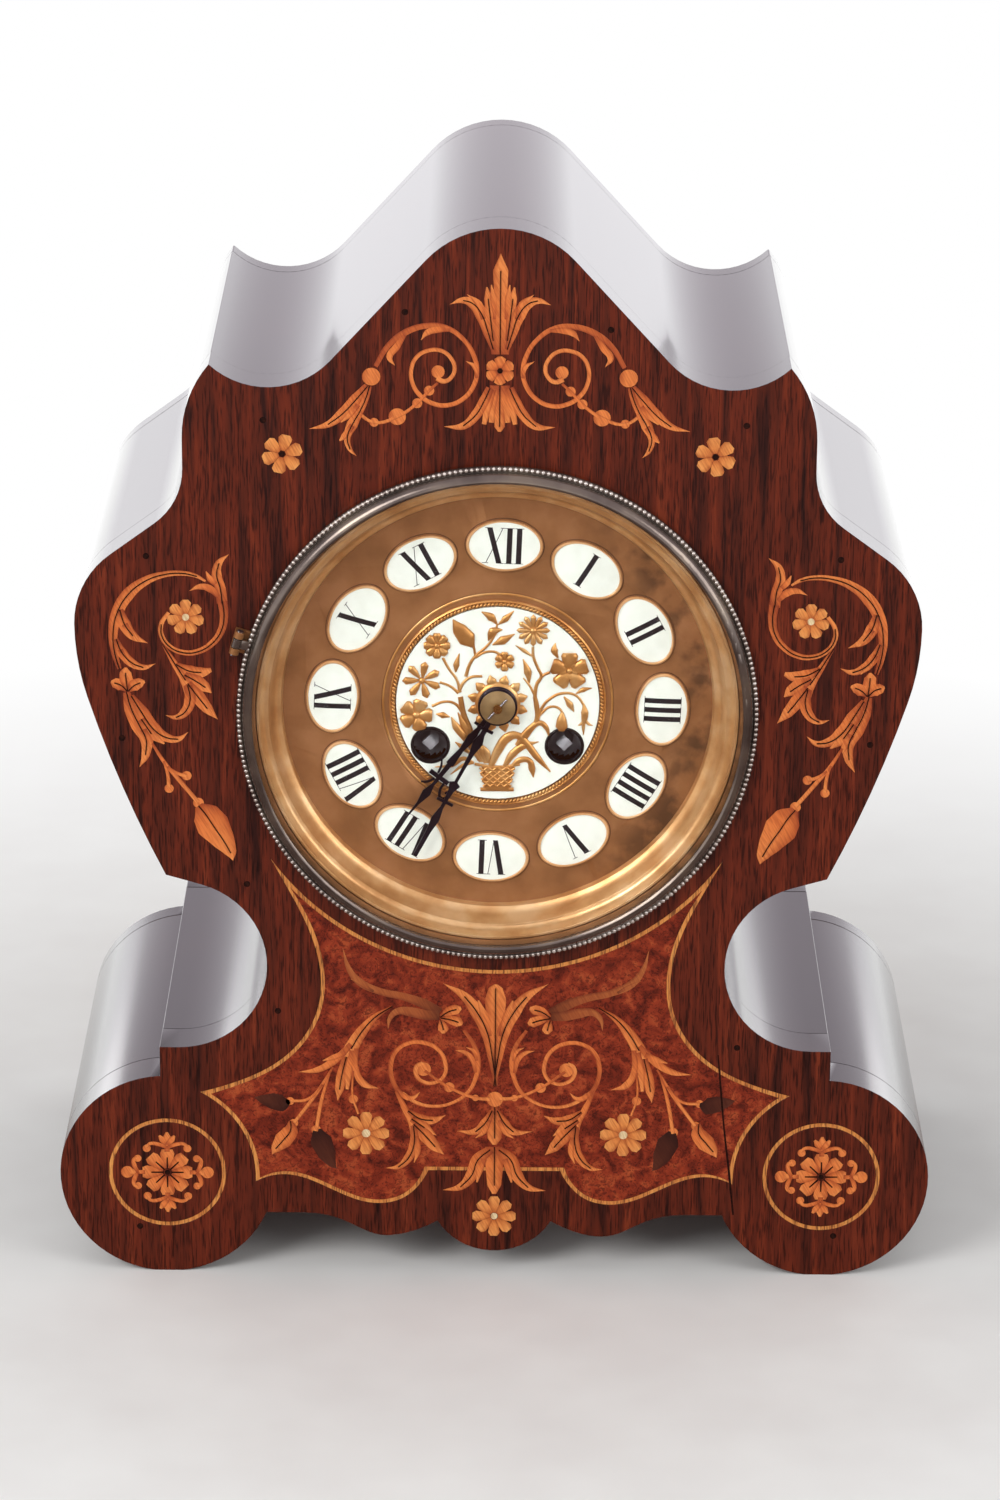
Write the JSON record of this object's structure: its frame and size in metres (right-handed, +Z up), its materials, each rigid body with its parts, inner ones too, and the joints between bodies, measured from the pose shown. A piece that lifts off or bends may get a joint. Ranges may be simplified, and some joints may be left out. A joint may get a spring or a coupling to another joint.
{
  "type": "mantel clock",
  "caption": "Shaped rosewood marquetry mantel clock with scroll feet, hinged glazed bezel, gilt dial with enamel hour plaques, striking spring movement and pendulum.",
  "frame": {"origin": "centre of the footprint on the surface the clock stands on", "axes": "+Z up, the dial faces -Y, +X is the viewer's right"},
  "size_m": [0.3, 0.173, 0.3727],
  "materials": {
    "rosewood": "polished dark rosewood veneer with light wood inlay",
    "burr_amboyna": "polished reddish burr veneer",
    "boxwood": "polished light stringing",
    "ebonised_wood": "black ebonised gloss polish",
    "secondary_wood": "plain stained carcase wood",
    "polished_bezel_brass": "darkened polished brass",
    "gilt_brass": "matt copper-toned gilding",
    "white_enamel": "glossy cream enamel",
    "black_metal": "black",
    "bezel_glass": "clear bevelled glass",
    "blued_steel": "blue-black steel",
    "polished_brass": "polished brass",
    "polished_steel": "polished steel",
    "spring_steel": "dark spring steel",
    "bell_metal": "turned bell metal"
  },
  "bodies": {
    "case": {"front_board": "rosewood", "burr_panel": "burr_amboyna", "boxwood_stringing": "boxwood", "crest_shell": "ebonised_wood", "shoulder_left": "ebonised_wood", "shoulder_right": "ebonised_wood", "waist_left": "ebonised_wood", "waist_right": "ebonised_wood", "foot_left": "ebonised_wood", "foot_right": "ebonised_wood", "back_board": "secondary_wood", "base_board": "secondary_wood", "front_ring": "gilt_brass", "reflector_ring": "gilt_brass", "dial_plate": "gilt_brass", "centre_relief": "gilt_brass", "hour_plaques": "white_enamel", "centre_enamel": "white_enamel", "winding_grommets": "black_metal", "back_ring": "polished_brass", "front_plate": "polished_brass", "back_plate": "polished_brass", "plate_pillars": "polished_brass", "back_cock": "polished_brass", "movement_straps": "polished_brass", "steel_screws": "polished_steel", "bell_stand": "polished_steel", "hinge_pins": "polished_steel", "bell": "bell_metal"},
    "bezel": {"bezel_ring": "polished_bezel_brass", "bezel_glass": "bezel_glass"},
    "door": {"back_door": "polished_brass"},
    "centre_arbor": {"centre_wheel": "polished_brass", "cannon_pinion": "polished_brass", "minute_hand": "blued_steel", "hand_washer": "polished_brass", "hand_pin": "polished_steel"},
    "hour_pipe": {"hour_wheel": "polished_brass", "hour_hand": "blued_steel"},
    "minute_work": {"minute_wheel": "polished_brass"},
    "mid_arbor": {"mid_wheel": "polished_brass"},
    "going_drum": {"going_barrel": "polished_brass", "going_mainspring": "spring_steel"},
    "third_arbor": {"third_wheel": "polished_brass"},
    "escape_arbor": {"escape_wheel": "polished_brass"},
    "pendulum": {"anchor": "polished_steel", "pendulum_rod": "polished_steel", "pendulum_bob": "polished_brass"},
    "going_wind": {"going_winding_arbor": "polished_steel"},
    "going_pawl": {"going_click": "polished_steel"},
    "strike_drum": {"strike_barrel": "polished_brass", "strike_mainspring": "spring_steel"},
    "second_arbor": {"second_wheel": "polished_brass", "count_wheel": "polished_brass"},
    "pin_arbor": {"pin_wheel": "polished_brass"},
    "warning_arbor": {"warning_wheel": "polished_brass"},
    "fly_arbor": {"fly": "polished_brass"},
    "strike_wind": {"strike_winding_arbor": "polished_steel"},
    "strike_pawl": {"strike_click": "polished_steel"},
    "hammer_arbor": {"hammer": "polished_steel"}
  },
  "joints": [
    {"name": "bezel_hinge", "type": "hinge", "parent": "case", "child": "bezel", "pos_m": [-0.08663, -0.08435, 0.23223], "axis": [-0.2857, 0, -0.9583], "range_deg": [0, 120]},
    {"name": "door_hinge", "type": "hinge", "parent": "case", "child": "door", "pos_m": [0.0716, 0.08205, 0.2064], "axis": [0, 0, -1], "range_deg": [0, 110]},
    {"name": "minute_turn", "type": "hinge", "parent": "case", "child": "centre_arbor", "pos_m": [0, -0.05015, 0.2064], "axis": [0, 1, 0], "continuous": true},
    {"name": "hour_turn", "type": "hinge", "parent": "case", "child": "hour_pipe", "pos_m": [0, -0.06615, 0.2064], "axis": [0, 1, 0], "continuous": true},
    {"name": "minute_work_turn", "type": "hinge", "parent": "case", "child": "minute_work", "pos_m": [0, -0.05915, 0.2184], "axis": [0, 1, 0], "continuous": true},
    {"name": "mid_turn", "type": "hinge", "parent": "case", "child": "mid_arbor", "pos_m": [0.01763, -0.04015, 0.21541], "axis": [0, 1, 0], "continuous": true},
    {"name": "going_drum_turn", "type": "hinge", "parent": "case", "child": "going_drum", "pos_m": [0.0225, -0.04215, 0.1914], "axis": [0, 1, 0], "continuous": true},
    {"name": "third_turn", "type": "hinge", "parent": "case", "child": "third_arbor", "pos_m": [-0.0106, -0.04015, 0.22154], "axis": [0, 1, 0], "continuous": true},
    {"name": "escape_turn", "type": "hinge", "parent": "case", "child": "escape_arbor", "pos_m": [0, -0.04015, 0.23403], "axis": [0, 1, 0], "continuous": true},
    {"name": "pendulum_swing", "type": "hinge", "parent": "case", "child": "pendulum", "pos_m": [0, -0.01715, 0.24753], "axis": [0, 1, 0], "range_deg": [-3, 3]},
    {"name": "going_winding", "type": "hinge", "parent": "case", "child": "going_wind", "pos_m": [0.0225, -0.04215, 0.1914], "axis": [0, 1, 0], "range_deg": [0, 1620]},
    {"name": "going_pawl_lift", "type": "hinge", "parent": "case", "child": "going_pawl", "pos_m": [0.0345, -0.05715, 0.2009], "axis": [0, 1, 0], "range_deg": [0, 15]},
    {"name": "strike_run", "type": "hinge", "parent": "case", "child": "pin_arbor", "pos_m": [-0.03195, -0.04015, 0.22981], "axis": [0, 1, 0], "continuous": true},
    {"name": "second_turn", "type": "hinge", "parent": "case", "child": "second_arbor", "pos_m": [-0.02675, -0.04015, 0.21553], "axis": [0, 1, 0], "continuous": true},
    {"name": "strike_drum_turn", "type": "hinge", "parent": "case", "child": "strike_drum", "pos_m": [-0.0225, -0.04215, 0.1914], "axis": [0, 1, 0], "continuous": true},
    {"name": "warning_turn", "type": "hinge", "parent": "case", "child": "warning_arbor", "pos_m": [-0.02193, -0.04015, 0.23683], "axis": [0, 1, 0], "continuous": true},
    {"name": "fly_turn", "type": "hinge", "parent": "case", "child": "fly_arbor", "pos_m": [-0.01459, -0.04015, 0.24416], "axis": [0, 1, 0], "continuous": true},
    {"name": "strike_winding", "type": "hinge", "parent": "case", "child": "strike_wind", "pos_m": [-0.0225, -0.04215, 0.1914], "axis": [0, 1, 0], "range_deg": [0, 1620]},
    {"name": "strike_pawl_lift", "type": "hinge", "parent": "case", "child": "strike_pawl", "pos_m": [-0.0345, -0.05715, 0.2009], "axis": [0, -1, 0], "range_deg": [0, 15]},
    {"name": "hammer_lift", "type": "hinge", "parent": "case", "child": "hammer_arbor", "pos_m": [-0.04323, -0.01015, 0.22213], "axis": [0, -1, 0], "range_deg": [0, 10]}
  ],
  "couplings": [
    {"joint": "hour_turn", "follows": "minute_turn", "ratio": 0.083333},
    {"joint": "minute_work_turn", "follows": "minute_turn", "ratio": -0.33333},
    {"joint": "mid_turn", "follows": "minute_turn", "ratio": -0.15385},
    {"joint": "going_drum_turn", "follows": "minute_turn", "ratio": 0.025641},
    {"joint": "third_turn", "follows": "minute_turn", "ratio": -10},
    {"joint": "escape_turn", "follows": "minute_turn", "ratio": 120},
    {"joint": "second_turn", "follows": "strike_run", "ratio": -0.14286},
    {"joint": "strike_drum_turn", "follows": "strike_run", "ratio": 0.02381},
    {"joint": "warning_turn", "follows": "strike_run", "ratio": -7.5},
    {"joint": "fly_turn", "follows": "strike_run", "ratio": 57.857}
  ]
}
